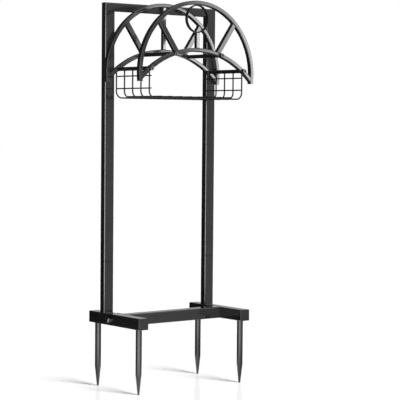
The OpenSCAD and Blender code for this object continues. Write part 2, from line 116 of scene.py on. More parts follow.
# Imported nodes, by what is done to them
SIDES = (-1, 1)
SPIKES = ["spike_front_left", "spike_front_right", "spike_rear_left", "spike_rear_right"]
POSTS = ["lower_post_left", "lower_post_right", "upper_post_left", "upper_post_right"]
SQUARE_TUBES = ["foot_left", "foot_right"] + POSTS
RODS = ["rod_upper_left", "rod_upper_right", "rod_lower_left", "rod_lower_right"]
BENT_BARS = ["rear_hoop", "rear_saddle_arc", "front_hoop", "front_saddle_arc"]
MIDDLE_SPOKES = ["front_spoke_middle", "rear_spoke_middle"]
ARCH_NODES = BENT_BARS + MIDDLE_SPOKES + [
    "rear_spoke_left", "rear_spoke_right", "front_spoke_left", "front_spoke_right",
    "hoop_tip_plates",
]
BASKET_WIRES = [f"basket_bent_wire_{number}" for number in range(1, BENT_WIRES + 1)]
BASKET_WIRES += ["basket_side_wires", "basket_floor_wires"]
COATED_NODES = SPIKES + RODS + ARCH_NODES + [
    "foot_left", "foot_right", "cross_bar", "cross_bar_end_plates", "post_sleeves", "top_bar",
    "front_ring",
]
PLATED_NODES = ["spike_nuts", "head_rivet_nuts"]

# Hardware finishes: colour property, that colour's factor in the patches, roughness and how far
# it wanders, the grain's size, depth and strength, and how metallic the finish is
HARDWARE = {
    "zinc_plating": ("plating_colour", 0.82, 0.27, 0.06, (0.5*MM, 0.02*MM, 0.4), 1.0),
    "black_oxide": ("oxide_colour", 1.6, 0.25, 0.05, (0.5*MM, 0.01*MM, 0.3), 1.0),
    "cap_plastic_pebble": ("cap_colour", 1.5, 0.36, 0.04, (0.7*MM, 0.06*MM, 0.6), 0.0),
}

# How far the coat's roughness wanders and how much dust adds to it, depth and strength of the orange
# peel, the specular level of the wires' coat, and the plain colours, black for the painted joint
# shade
COAT_SPREAD = 0.02
DUST_DULLING = 0.5
PEEL_DEPTH = 0.006*MM
PEEL_STRENGTH = 0.2
WIRE_SPECULAR = 0.2
SHADE_BLACK = (0, 0, 0)
WHITE = (1, 1, 1, 1)

# Fade of the painted shade line at a post joint: distances from its middle, as shares of its width
JOINT_SHADE_FADE = (0.4, 0.6)

# Surface groups: size of the fine grain as a share of the coarse, contrast and cut of the
# patches, size of the dust's specks as a share of its patches, its gain, and how fast it
# thins out on slopes
FINE_GRAIN = 0.3
PATCH_CONTRAST = 2.2
PATCH_CUT = 0.6
SPECK_SHARE = 0.04
DUST_GAIN = 4.0
DUST_SLOPE = 2.0

# Angle between two faces above which their edge is shaded sharp
SHARP_EDGE = math.radians(35)


class HoseHolderFinish(bpy.types.PropertyGroup):
    """Colours and surface values of the stand's finishes."""

    coat_colour: FloatVectorProperty(
        name="Powder coat", description="Colour of the powder coat on the frame",
        subtype="COLOR", default=(0.0105, 0.0105, 0.0110), min=0, max=1)
    coat_patch: FloatVectorProperty(
        name="Coat patches", description="Colour of the coat where it lies a little thinner",
        subtype="COLOR", default=(0.0140, 0.0140, 0.0146), min=0, max=1)
    coat_roughness: FloatProperty(
        name="Coat roughness", description="Middle roughness of the satin powder coat",
        subtype="FACTOR", default=0.10, min=0, max=1)
    peel_size: FloatProperty(
        name="Orange peel", description="Size of the ripples in the powder coat",
        unit="LENGTH", default=1.3*MM, min=0.2*MM, max=5*MM)
    # Width of the painted shade line in the gap where one post stands on another
    joint_shade_line: FloatProperty(
        name="Joint line", description="Width of the dark line where one post stands on another",
        unit="LENGTH", default=1.2*MM, min=0.1*MM, max=2*MM)
    cap_colour: FloatVectorProperty(
        name="Cap plastic", description="Colour of the moulded end caps",
        subtype="COLOR", default=(0.0050, 0.0050, 0.0053), min=0, max=1)
    plating_colour: FloatVectorProperty(
        name="Plating", description="Colour of the zinc plating on the nuts",
        subtype="COLOR", default=(0.45, 0.455, 0.465), min=0, max=1)
    oxide_colour: FloatVectorProperty(
        name="Black oxide", description="Colour of the blackened steel of the screws and washers",
        subtype="COLOR", default=(0.085, 0.085, 0.089), min=0, max=1)
    dust_colour: FloatVectorProperty(
        name="Dust", description="Colour of the faint dust on faces that look up",
        subtype="COLOR", default=(0.30, 0.29, 0.27), min=0, max=1)
    dust_amount: FloatProperty(
        name="Dust amount", description="How much of that dust lies on the stand",
        subtype="FACTOR", default=0.035, min=0, max=1)


class HoseHolderWelds(bpy.types.PropertyGroup):
    """Sizes of the weld beads."""

    tube_bead: FloatProperty(
        name="Tube bead", description="Radius of the beads between tubes",
        unit="LENGTH", default=1.3*MM, min=0.5*MM, max=3*MM)
    base_bead: FloatProperty(
        name="Base bead", description="Radius of the beads at the posts' feet and the cross bar",
        unit="LENGTH", default=2.0*MM, min=0.5*MM, max=4*MM)
    wire_bead: FloatProperty(
        name="Wire bead", description="Radius of the beads round the basket's wires",
        unit="LENGTH", default=0.8*MM, min=0.3*MM, max=2*MM)
    ripple_pitch: FloatProperty(
        name="Ripple pitch", description="Distance from one ripple of a bead to the next",
        unit="LENGTH", default=1.6*MM, min=0.5*MM, max=5*MM)
    ripple_depth: FloatProperty(
        name="Ripple depth", description="Depth of the ripples as a share of the bead's radius",
        subtype="FACTOR", default=0.14, min=0, max=0.5)


class HoseHolderScrews(bpy.types.PropertyGroup):
    """Details of the screws and nuts."""

    edge_chamfer: FloatProperty(
        name="Edge chamfer", description="Chamfer round the front of each screw head",
        unit="LENGTH", default=0.8*MM, min=0.1*MM, max=2*MM)
    knurl_depth: FloatProperty(
        name="Knurl depth", description="Depth of the grip lines round a cap screw's head",
        unit="LENGTH", default=0.15*MM, min=0, max=1*MM)
    knurl_lines: IntProperty(
        name="Knurl lines", description="Number of grip lines round a cap screw's head",
        default=48, min=24, max=96)


class HoseHolderStudio(bpy.types.PropertyGroup):
    """Colours and light levels of the studio."""

    floor_colour: FloatVectorProperty(
        name="Floor", description="Colour of the floor",
        subtype="COLOR", default=(0.90, 0.90, 0.90), min=0, max=1)
    floor_sheen: FloatProperty(
        name="Floor sheen", description="How strongly the floor mirrors the stand",
        subtype="FACTOR", default=0.20, min=0, max=1)
    room_light: FloatProperty(
        name="Room light", description="Level of the even light from all round",
        default=0.12, min=0, max=2)
    key_level: FloatProperty(
        name="Key light", description="Strength of the large soft light above the front",
        default=4.85, min=0, max=20)
    surround_glow: FloatProperty(
        name="Surroundings",
        description="Brightness of the room that the coat mirrors near the floor",
        default=0.60, min=0, max=2)
    front_glow: FloatProperty(
        name="Front glow", description="Brightness added to it round the camera's place",
        default=4.8, min=0, max=20)
    overhead_glow: FloatProperty(
        name="Overhead glow", description="Brightness added to it high up at the front",
        default=4.0, min=0, max=20)
    arch_glow: FloatProperty(
        name="Arch softboxes",
        description="Brightness of the strips of light that the arches mirror",
        default=1.4, min=0, max=20)
    corner_glow: FloatProperty(
        name="Corner softbox",
        description="Brightness of the softbox that the posts' corners mirror",
        default=7.0, min=0, max=50)
    spoke_glow: FloatProperty(
        name="Spoke softbox",
        description="Brightness of the softbox that the middle spokes mirror",
        default=10.0, min=0, max=50)


def middle_of(node):
    """Middle of a node's box."""
    low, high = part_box(node)
    return (low + high)/2


# Arches, worked out from the boxes of the front arch as the real bars were bent
HOOP_LOW, HOOP_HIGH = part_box("front_hoop")
HOOP_RADIUS = HOOP_HIGH.x
HOOP_IN = HOOP_RADIUS - ARCH_BAR
HOOP_HEIGHT = HOOP_HIGH.z - HOOP_RADIUS
HOOP_DROP = HOOP_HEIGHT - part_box("hoop_tip_plates")[0].z
SADDLE_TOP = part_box("front_saddle_arc")[1].z
SADDLE_HALF = math.sqrt((HOOP_RADIUS - ARCH_BAR/2)**2 - HOOP_DROP**2)
SADDLE_CLEAR = SADDLE_TOP - (HOOP_HEIGHT - HOOP_DROP) - ARCH_BAR
SADDLE_IN = (SADDLE_HALF**2 + SADDLE_CLEAR**2)/(2*SADDLE_CLEAR)
SADDLE_RADIUS = SADDLE_IN + ARCH_BAR
SADDLE_HEIGHT = SADDLE_TOP - SADDLE_RADIUS
FRONT_ARCH = (HOOP_LOW.y + HOOP_HIGH.y)/2
REAR_ARCH = middle_of("rear_hoop").y
ARCH_DEPTH = HOOP_HIGH.y - HOOP_LOW.y
RING_HEIGHT = middle_of("front_ring").z
RING_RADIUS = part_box("front_ring")[1].x


# Directions of the studio: to the camera, to the dark corner, and to the glow and the key light
# above the front, with the angle that this light fills
CAMERA_SIDE = (-0.624, -0.782, 0)
LEFT_BACK = (-0.624, 0.782, 0)
OVERHEAD = (0.35, -0.62, 0.70)
KEY = (0.17, -0.985, 1.07)
KEY_WIDTH = math.radians(24)

# Mirrored surroundings: heights over which their low and middle parts fade and the share left
# above, the fade and depth of the dark corner, and how tightly the two glows are gathered
LOW_FADE = (0.12, 0.50)
MIDDLE_FADE = (0.30, 0.80)
HIGH_SHARE = 0.06
CORNER_FADE = (0.35, 0.85)
CORNER_DARK = 0.88
FRONT_GATHER = 8.0
OVERHEAD_GATHER = 12.0

# Floor as the stand mirrors it, a painted glow: the middle of its pattern, the painted shade behind
# the stand with a lighter band across it, and the painted shade near the stand, all in metres
FLOOR_CENTRE = (0.3, 0.4, 0)
FLOOR_WIDTH = 60
BEHIND = (0.624, 0.782, 0)
BEHIND_REACH = (0.25, 0.45)
BEHIND_PAINTED_SHADE = 0.9
BAND_START = (2.0, 2.4)
BAND_END = (4.2, 5.0)
NEAR_REACH = (0.8, 1.5)
NEAR_PAINTED_SHADE = 0.6
SHEEN_ROUGHNESS = 0.05

# Camera, at the photograph's place
CAMERA_PLACE = (-2.9636, -3.8548, 0.8159)
CAMERA_AZIMUTH = 0.67350
CAMERA_PITCH = 0.04967
CAMERA_ROLL = 0.00859
CAMERA_LENS = 141.636
CAMERA_SENSOR = 36

# Strips of light in front of the arches: left edge, and brightness as a share of arch_glow.
# All end at the same right edge, so the light grows in steps to the right. They hang upright
# one close behind the other.
STRIPS = ((0.735, 1.0), (0.775, 1.0), (0.815, 1.0), (0.855, 1.0), (1.025, 3.6))
STRIP_RIGHT = 1.25
STRIP_FRONT = -1.13
STRIP_SPACING = 0.01
STRIP_LEVEL = 1.0
STRIP_HEIGHT = 0.62

# Softboxes for the middle spokes and for the corners of the square tubes
SPOKE_BOX_ACROSS = 0.83
SPOKE_BOX_WIDTH = 0.5
CORNER_BOX_AWAY = 2.4
CORNER_BOX_LEVEL = 0.65
CORNER_BOX_SIZE = (3.0, 1.3)


# Shader nodes, and the node groups that more than one material uses

def new_group(name, inputs, outputs):
    """Empty shader node group with float inputs (name, default) and float outputs (name)."""
    group = bpy.data.node_groups.new(name, "ShaderNodeTree")
    for label, default in inputs:
        socket = group.interface.new_socket(label, in_out="INPUT", socket_type="NodeSocketFloat")
        socket.default_value = default
    for label in outputs:
        group.interface.new_socket(label, in_out="OUTPUT", socket_type="NodeSocketFloat")
    return group, group.nodes.new("NodeGroupInput"), group.nodes.new("NodeGroupOutput")


def feed(tree, socket, value):
    """Gives a socket another one's output or a fixed value."""
    if isinstance(value, bpy.types.NodeSocket):
        tree.links.new(value, socket)
    else:
        socket.default_value = value


def place_node(tree, kind, **values):
    """Node of a kind, with the named inputs fed; underscores stand for spaces."""
    node = tree.nodes.new(f"ShaderNode{kind}")
    for label, value in values.items():
        feed(tree, node.inputs[label.replace("_", " ")], value)
    return node


def object_place(tree):
    """Place on an object, in its own coordinates."""
    return place_node(tree, "TexCoord").outputs["Object"]


def calculate(tree, operation, first, second, clamp=False):
    """Math node between two sockets or numbers, and its output."""
    node = place_node(tree, "Math")
    node.operation = operation
    node.use_clamp = clamp
    feed(tree, node.inputs[0], first)
    feed(tree, node.inputs[1], second)
    return node.outputs[0]


def vector_math(tree, operation, first, second=(0, 0, 0)):
    """Vector math node on a socket and, where it takes two, a fixed vector."""
    node = place_node(tree, "VectorMath")
    node.operation = operation
    feed(tree, node.inputs[0], first)
    feed(tree, node.inputs[1], second)
    return node


def upright_part(tree, vector):
    """Part of a vector along Z."""
    return place_node(tree, "SeparateXYZ", Vector=vector).outputs["Z"]


def mix_shaders(tree, mask, first, second):
    """Shader that goes from first to second as mask goes from 0 to 1."""
    node = place_node(tree, "MixShader", Fac=mask)
    tree.links.new(first, node.inputs[1])
    tree.links.new(second, node.inputs[2])
    return node.outputs[0]


def noise(tree, place, size, detail, roughness=0.5):
    """Noise texture whose features are about size across, and its value output."""
    scale = calculate(tree, "DIVIDE", 1.0, size)
    node = place_node(
        tree, "TexNoise", Vector=place, Scale=scale, Detail=detail, Roughness=roughness)
    return node.outputs["Fac"]


def surface_grain_group():
    """Height of a fine grain, and a mask of broad soft patches over it."""
    group, given, result = new_group(
        "surface_grain",
        [("Grain Size", 1.3*MM), ("Patch Size", 60*MM), ("Fine Share", 0.3)],
        ["Height", "Patches"])
    place = object_place(group)
    coarse = noise(group, place, given.outputs["Grain Size"], detail=1.0)
    fine_size = calculate(group, "MULTIPLY", given.outputs["Grain Size"], FINE_GRAIN)
    fine = noise(group, place, fine_size, detail=2.0)
    fine_part = calculate(group, "MULTIPLY", fine, given.outputs["Fine Share"])
    group.links.new(calculate(group, "ADD", coarse, fine_part), result.inputs["Height"])
    patches = noise(group, place, given.outputs["Patch Size"], detail=3.0, roughness=0.6)
    patches = calculate(group, "MULTIPLY", patches, PATCH_CONTRAST)
    patches = calculate(group, "SUBTRACT", patches, PATCH_CUT, clamp=True)
    group.links.new(patches, result.inputs["Patches"])


def settled_dust_group():
    """Mask of dust that lies unevenly on faces that look up."""
    group, given, result = new_group(
        "settled_dust", [("Amount", 0.05), ("Patch Size", 20*MM)], ["Mask"])
    place = object_place(group)
    normal = place_node(group, "NewGeometry").outputs["Normal"]
    upward = calculate(group, "MAXIMUM", upright_part(group, normal), 0.0)
    level = calculate(group, "POWER", upward, DUST_SLOPE)
    speck_size = calculate(group, "MULTIPLY", given.outputs["Patch Size"], SPECK_SHARE)
    specks = noise(group, place, speck_size, detail=2.0)
    clouds = noise(group, place, given.outputs["Patch Size"], detail=4.0, roughness=0.65)
    spread = calculate(group, "MULTIPLY", specks, clouds)
    strength = calculate(group, "MULTIPLY", given.outputs["Amount"], DUST_GAIN)
    amount = calculate(group, "MULTIPLY", spread, strength)
    mask = calculate(group, "MULTIPLY", level, amount, clamp=True)
    group.links.new(mask, result.inputs["Mask"])


def facing_share(tree, direction, towards):
    """Reach of a vector along a direction, held above nought: a unit vector's is its cosine."""
    node = vector_math(tree, "DOT_PRODUCT", direction, Vector(towards).normalized())
    return calculate(tree, "MAXIMUM", node.outputs["Value"], 0.0)


def soft_step(tree, value, start, end):
    """Value from 0 at start to 1 at end, eased at both."""
    node = place_node(tree, "MapRange", Value=value, From_Min=start, From_Max=end)
    node.interpolation_type = "SMOOTHSTEP"
    return node.outputs["Result"]


def surroundings_group():
    """Brightness of the studio as the stand mirrors it in a direction.

    It is bright round the camera and high up at the front, dark at the left back and overhead."""
    group, given, result = new_group(
        "surroundings", [("Level", 1.0), ("Front", 3.0), ("Overhead", 3.0)], ["Brightness"])
    group.interface.new_socket("Direction", in_out="INPUT", socket_type="NodeSocketVector")
    unit = vector_math(group, "NORMALIZE", given.outputs["Direction"]).outputs["Vector"]
    height = upright_part(group, unit)
    low = calculate(group, "SUBTRACT", 1.0, soft_step(group, height, *LOW_FADE))
    middle = calculate(group, "SUBTRACT", 1.0, soft_step(group, height, *MIDDLE_FADE))
    corner = soft_step(group, facing_share(group, unit, LEFT_BACK), *CORNER_FADE)
    dark = calculate(group, "MULTIPLY", corner, CORNER_DARK)
    front = calculate(group, "POWER", facing_share(group, unit, CAMERA_SIDE), FRONT_GATHER)
    over = calculate(group, "POWER", facing_share(group, unit, OVERHEAD), OVERHEAD_GATHER)
    share = calculate(group, "MULTIPLY", low, 1 - HIGH_SHARE)
    share = calculate(group, "ADD", share, HIGH_SHARE)
    room = calculate(group, "MULTIPLY", share, given.outputs["Level"])
    glow = calculate(group, "MULTIPLY", front, middle)
    glow = calculate(group, "MULTIPLY", glow, given.outputs["Front"])
    level = calculate(group, "MULTIPLY", calculate(group, "ADD", room, glow),
                      calculate(group, "SUBTRACT", 1.0, dark))
    high = calculate(group, "MULTIPLY", over, given.outputs["Overhead"])
    group.links.new(calculate(group, "ADD", level, high), result.inputs["Brightness"])


def place_group(tree, name, **values):
    """Node that holds a group, with the named inputs fed; underscores stand for spaces."""
    node = tree.nodes.new("ShaderNodeGroup")
    node.node_tree = bpy.data.node_groups[name]
    for label, value in values.items():
        feed(tree, node.inputs[label.replace("_", " ")], value)
    return node


def place_surroundings(tree, direction):
    """Brightness of the studio's surroundings in a direction, at the levels that are set."""
    studio = bpy.context.scene.hose_holder_studio
    node = place_group(
        tree, "surroundings", Level=studio.surround_glow, Front=studio.front_glow,
        Overhead=studio.overhead_glow, Direction=direction)
    return node.outputs["Brightness"]


def mix_colours(tree, mask, first, second):
    """Colour that goes from first to second as mask goes from 0 to 1."""
    node = place_node(tree, "Mix", Factor=mask)
    node.data_type = "RGBA"
    for label, value in (("A", first), ("B", second)):
        socket = next(s for s in node.inputs if s.name == label and s.type == "RGBA")
        feed(tree, socket, value if isinstance(value, bpy.types.NodeSocket) else (*value, 1.0))
    return next(s for s in node.outputs if s.type == "RGBA")


def finish_material(name, colour, patch, roughness, spread, grain, metallic=0.0):
    """Principled material with grain, soft patches and dust.

    roughness is its middle and spread how far it wanders; grain holds the bumps' size, depth
    and strength."""
    finish = bpy.context.scene.hose_holder_finish
    material = bpy.data.materials.new(name)
    material.use_nodes = True
    tree = material.node_tree
    shader = tree.nodes["Principled BSDF"]
    shader.inputs["Metallic"].default_value = metallic
    grain_size, grain_depth, grain_strength = grain
    surface = place_group(tree, "surface_grain", Grain_Size=grain_size)
    dust = place_group(tree, "settled_dust", Amount=finish.dust_amount)
    plain = mix_colours(tree, surface.outputs["Patches"], colour, patch)
    dusty = mix_colours(tree, dust.outputs["Mask"], plain, finish.dust_colour)
    tree.links.new(dusty, shader.inputs["Base Color"])
    wander = calculate(tree, "MULTIPLY", surface.outputs["Patches"], 2*spread)
    dulling = calculate(tree, "MULTIPLY", dust.outputs["Mask"], DUST_DULLING)
    dulled = calculate(tree, "ADD", wander, dulling)
    rough = calculate(tree, "ADD", dulled, roughness - spread, clamp=True)
    tree.links.new(rough, shader.inputs["Roughness"])
    bump = place_node(tree, "Bump", Strength=grain_strength, Distance=grain_depth,
                      Height=surface.outputs["Height"])
    tree.links.new(bump.outputs["Normal"], shader.inputs["Normal"])
    return material


def powder_coat(name="powder_coat_satin"):
    """Satin black powder coat with its orange peel, made once under each name."""
    if name in bpy.data.materials:
        return bpy.data.materials[name]
    finish = bpy.context.scene.hose_holder_finish
    return finish_material(
        name, finish.coat_colour, finish.coat_patch, finish.coat_roughness, COAT_SPREAD,
        (finish.peel_size, PEEL_DEPTH, PEEL_STRENGTH))


def wire_coat():
    """Powder coat of the basket's wires, which shines less than the rest."""
    material = powder_coat("powder_coat_wires")
    shader = material.node_tree.nodes["Principled BSDF"]
    shader.inputs["Specular IOR Level"].default_value = WIRE_SPECULAR
    return material


def post_coat():
    """Powder coat of the posts, with a painted shade line round each joint, where no light gets out
    of the gap.
    """
    finish = bpy.context.scene.hose_holder_finish
    material = powder_coat("powder_coat_posts")
    tree = material.node_tree
    shader = tree.nodes["Principled BSDF"]
    joint = (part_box("lower_post_left")[1].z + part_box("upper_post_left")[0].z)/2
    above = calculate(tree, "SUBTRACT", upright_part(tree, object_place(tree)), joint)
    away = calculate(tree, "ABSOLUTE", above, 0.0)
    inner, outer = (share*finish.joint_shade_line for share in JOINT_SHADE_FADE)
    # Painted shade: round the joint the coat turns black and fully metallic, so it mirrors nothing
    line = calculate(tree, "SUBTRACT", 1.0, soft_step(tree, away, inner, outer))
    coat = shader.inputs["Base Color"].links[0].from_socket
    tree.links.new(mix_colours(tree, line, coat, SHADE_BLACK), shader.inputs["Base Color"])
    tree.links.new(line, shader.inputs["Metallic"])
    return material


def hardware_finish(name):
    """Zinc plating, black oxide or moulded plastic, made once."""
    if name in bpy.data.materials:
        return bpy.data.materials[name]
    colour_name, patch_factor, roughness, spread, grain, metallic = HARDWARE[name]
    colour = getattr(bpy.context.scene.hose_holder_finish, colour_name)
    patch = [patch_factor*c for c in colour]
    return finish_material(name, colour, patch, roughness, spread, grain, metallic)


def dress_nodes(nodes, material):
    """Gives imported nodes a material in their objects' own slots."""
    for name in nodes:
        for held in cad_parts[name].material_slots:
            held.link = "OBJECT"
            held.material = material


def even_shading(nodes):
    """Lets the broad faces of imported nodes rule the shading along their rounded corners."""
    for name in nodes:
        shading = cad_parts[name].modifiers.new("even_shading", "WEIGHTED_NORMAL")
        shading.mode = "FACE_AREA_WITH_ANGLE"


# Mesh making

def add_object(name, data):
    """Object of a mesh, light or camera, in the scene."""
    made = bpy.data.objects.new(name, data)
    bpy.context.scene.collection.objects.link(made)
    return made


def mesh_of(name, shape, material):
    """Mesh of a finished bmesh, with its material."""
    mesh = bpy.data.meshes.new(name)
    shape.to_mesh(mesh)
    shape.free()
    mesh.materials.append(material)
    return mesh


def finish_piece(name, shape, material, stands_for=()):
    """Turns a finished bmesh into a named piece that rides on the stand."""
    bmesh.ops.recalc_face_normals(shape, faces=shape.faces)
    mesh = mesh_of(name, shape, material)
    mesh.shade_smooth()
    mesh.set_sharp_from_angle(angle=SHARP_EDGE)
    piece = add_object(name, mesh)
    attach(piece, "root")
    if stands_for:
        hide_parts(*stands_for)


def finish_black_screws(name, shape, node):
    """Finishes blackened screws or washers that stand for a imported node."""
    finish_piece(name, shape, hardware_finish("black_oxide"), [node])


def add_ring(shape, points):
    """Vertices of one ring."""
    return [shape.verts.new(p) for p in points]


def bridge(shape, ring, following):
    """Faces between two rings of equal count."""
    for i in range(len(ring)):
        j = (i + 1) % len(ring)
        shape.faces.new((ring[i], ring[j], following[j], following[i]))


def close_ring(shape, ring, point):
    """Faces from a ring to one point in its middle."""
    tip = shape.verts.new(point)
    for i in range(len(ring)):
        shape.faces.new((ring[i], ring[(i + 1) % len(ring)], tip))


def along(place, direction):
    """Matrix that puts a shape made along +Z at place, pointing in direction."""
    turn = Vector(direction).to_track_quat("Z", "Y").to_matrix().to_4x4()
    return Matrix.Translation(place) @ turn


def round_angles(count):
    """Even angles once round."""
    return [2*math.pi*i/count for i in range(count)]


def hexagon_reach(angle, across_flats):
    """Distance from the middle of a hexagon to its outline at an angle."""
    within = angle % (math.pi/3) - math.pi/6
    return across_flats/2/math.cos(within)


def turned(shape, where, rings, count, start=None, end=None):
    """Skin over rings given as (height, radius), where radius may be a function of the angle.

    start and end are heights of the middle points that close the two ends."""
    made = []
    for height, radius in rings:
        reach = radius if callable(radius) else (lambda angle, r=radius: r)
        made.append(add_ring(shape, [
            where @ Vector((reach(a)*math.cos(a), reach(a)*math.sin(a), height))
            for a in round_angles(count)
        ]))
    for ring, following in zip(made, made[1:]):
        bridge(shape, ring, following)
    if start is None:
        bridge(shape, made[-1], made[0])
    else:
        close_ring(shape, made[0], where @ Vector((0, 0, start)))
        close_ring(shape, made[-1], where @ Vector((0, 0, end)))


def add_cap_screw(shape, where, head, head_height, shank, shank_length, knurled=True):
    """Screw along +Z from the front of its head, with a hexagonal socket.

    A knurled head has grip lines and a chamfered front, a plain one has a chamfered front only."""
    screws = bpy.context.scene.hose_holder_screws
    count = 2*screws.knurl_lines if knurled else ROUND_COUNT
    chamfer = min(screws.edge_chamfer, 0.25*head_height)
    socket = SOCKET_SHARE*head
    depth = SOCKET_SHARE*head_height
    step = 2*math.pi/count
    groove = screws.knurl_depth if knurled else 0.0

    def socket_wall(extra):
        return lambda angle: hexagon_reach(angle, socket + 2*extra)

    def grip(angle):
        return head/2 - groove*(round(angle/step) % 2)

    rings = [
        (depth, socket_wall(0)),
        (BREAK_EDGE, socket_wall(0)),
        (0, socket_wall(BREAK_EDGE)),
        (0, head/2 - chamfer),
        (0.3*chamfer, head/2 - 0.45*chamfer),
        (chamfer, head/2 - 0.02*MM),
        (chamfer + 0.2*MM, grip),
        (head_height - 0.5*MM, grip),
        (head_height - 0.2*MM, head/2 - 0.1*MM),
        (head_height, head/2 - 0.4*MM),
        (head_height, shank/2),
        (head_height + shank_length - SHANK_POINT, shank/2),
        (head_height + shank_length, shank/2 - SHANK_POINT),
    ]
    turned(shape, where, rings, count, depth + SOCKET_POINT*socket, head_height + shank_length)


def add_domed_screw(shape, where, head, head_height, shank, shank_length):
    """Screw along +Z from the front of its rounded head, with a hexagonal socket."""
    socket = DOME_SOCKET_SHARE*head
    depth = 0.4*head_height
    rim = socket/2/math.cos(math.pi/6) + 2*BREAK_EDGE
    rings = [
        (depth, lambda angle: hexagon_reach(angle, socket)),
        (BREAK_EDGE, lambda angle: hexagon_reach(angle, socket)),
        (0, lambda angle: hexagon_reach(angle, socket + 2*BREAK_EDGE)),
    ]
    for i in range(DOME_STEPS + 1):
        turn = math.pi/2*i/DOME_STEPS
        rings.append((0.45*head_height*(1 - math.cos(turn)), rim + (head/2 - rim)*math.sin(turn)))
    rings += [
        (head_height - BREAK_EDGE, head/2), (head_height, head/2 - BREAK_EDGE),
        (head_height, shank/2), (head_height + shank_length - SHANK_POINT, shank/2),
        (head_height + shank_length, shank/2 - SHANK_POINT),
    ]
    turned(shape, where, rings, ROUND_COUNT, depth + SOCKET_POINT*socket,
           head_height + shank_length)


def add_hexagon(shape, where, across_flats, height, hole=None, chamfer_both=False):
    """Hexagonal head or nut along +Z, with its corners chamfered on a cone."""
    count = ROUND_COUNT
    corner = across_flats/2/math.cos(math.pi/6)
    flat = across_flats/2 - 0.2*MM
    lift = (corner - flat)*math.tan(math.radians(30))

    def chamfered(share):
        limit = flat + share*(corner - flat)
        return lambda angle: min(limit, hexagon_reach(angle, across_flats))

    near = [(0, chamfered(1))]
    if chamfer_both:
        near = [(share*lift, chamfered(share)) for share in (0, 0.5, 1)]
    far = [(height - share*lift, chamfered(share)) for share in (1, 0.5, 0)]
    if hole is None:
        turned(shape, where, near + far, count, 0, height)
        return
    mouth = 0.5*MM
    bore = [
        (height, hole/2 + mouth), (height - mouth, hole/2), (mouth, hole/2), (0, hole/2 + mouth)
    ]
    turned(shape, where, near + far + bore, count)


def add_washer(shape, where, outer, hole, thickness):
    """Flat washer along +Z with its outer edges broken."""
    edge = 0.35*MM
    rings = [
        (0, hole/2), (0, outer/2 - edge), (edge, outer/2), (thickness - edge, outer/2),
        (thickness, outer/2 - edge), (thickness, hole/2)
    ]
    turned(shape, where, rings, WASHER_SIDES)


def spaced(path, closed, step):
    """Points along a path at an even step, near the one asked for."""
    points = [Vector(p) for p in path]
    if closed:
        points.append(points[0])
    lengths = [(b - a).length for a, b in zip(points, points[1:])]
    total = sum(lengths)
    count = max(4, round(total/step))
    made, index, passed = [], 0, 0.0
    for i in range(count if closed else count + 1):
        wanted = min(total*i/count, total)
        while index < len(lengths) - 1 and passed + lengths[index] < wanted:
            passed += lengths[index]
            index += 1
        share = (wanted - passed)/lengths[index] if lengths[index] else 0
        made.append(points[index].lerp(points[index + 1], min(1, max(0, share))))
    return made


def add_bead(shape, path, radius, face, closed=False):
    """Rippled weld bead swept along a path; face is a direction square to most of the path."""
    welds = bpy.context.scene.hose_holder_welds
    points = spaced(path, closed, welds.ripple_pitch/STEPS_PER_RIPPLE)
    count = len(points)
    rings = []
    for i, point in enumerate(points):
        before = points[i - 1] if closed or i else point
        after = points[(i + 1) % count] if closed or i < count - 1 else point
        run = (after - before).normalized()
        across = run.cross(Vector(face)).normalized()
        out = across.cross(run).normalized()
        rise = (i % STEPS_PER_RIPPLE)/(STEPS_PER_RIPPLE - 1)
        ripple = 1 - welds.ripple_depth*(1 - rise)
        end = 1.0 if closed else min(1.0, BEAD_START + BEAD_GAIN*min(i, count - 1 - i))
        reach = radius*ripple*end
        rings.append(add_ring(shape, [
            point + across*(reach*math.cos(a)) + out*(reach*math.sin(a))
            for a in round_angles(BEAD_SIDES)
        ]))
    for ring, following in zip(rings, rings[1:]):
        bridge(shape, ring, following)
    if closed:
        bridge(shape, rings[-1], rings[0])
    else:
        close_ring(shape, rings[0], points[0].lerp(points[1], -BEAD_NOSE))
        close_ring(shape, rings[-1], points[-1].lerp(points[-2], -BEAD_NOSE))


def section_loop(width, depth, corner, steps=5):
    """Outline of a rounded rectangle as points (across, front to back)."""
    points = []
    for quarter in range(4):
        sign_u = 1 if quarter in (0, 3) else -1
        sign_v = 1 if quarter in (0, 1) else -1
        for i in range(steps):
            angle = math.pi/2*(quarter + i/(steps - 1))
            points.append((sign_u*(width/2 - corner) + corner*math.cos(angle),
                           sign_v*(depth/2 - corner) + corner*math.sin(angle)))
    return points


def meet_circle(x, z, run_x, run_z, height, radius):
    """Point where a line in an arch's plane leaves a circle round (0, height)."""
    along_run = x*run_x + (z - height)*run_z
    apart = x*x + (z - height)**2 - radius**2
    reach = -along_run + math.sqrt(along_run**2 - apart)
    return x + reach*run_x, z + reach*run_z


def circles_meet(radius):
    """Point (x, z) at the right where an arc round the saddle's centre meets the hoop's inside."""
    low, high = SADDLE_HEIGHT, HOOP_HEIGHT
    z = (low**2 - high**2 - radius**2 + HOOP_IN**2)/(2*(low - high))
    return math.sqrt(HOOP_IN**2 - (z - high)**2), z


# Operators, one for each piece or group of like pieces

class HOSEHOLDER_OT_coated_frame(bpy.types.Operator):
    """Puts the satin powder coat on tubes, rods, wires and spikes"""
    bl_idname = "hose_holder.coated_frame"
    bl_label = "Coat the Frame"

    def execute(self, context):
        dress_nodes(COATED_NODES, powder_coat())
        dress_nodes(POSTS, post_coat())
        dress_nodes(BASKET_WIRES, wire_coat())
        even_shading(BENT_BARS)
        return {"FINISHED"}


class HOSEHOLDER_OT_end_caps(bpy.types.Operator):
    """Gives the feet's end caps their moulded plastic"""
    bl_idname = "hose_holder.end_caps"
    bl_label = "Finish the End Caps"

    def execute(self, context):
        dress_nodes(["foot_end_caps"], hardware_finish("cap_plastic_pebble"))
        return {"FINISHED"}


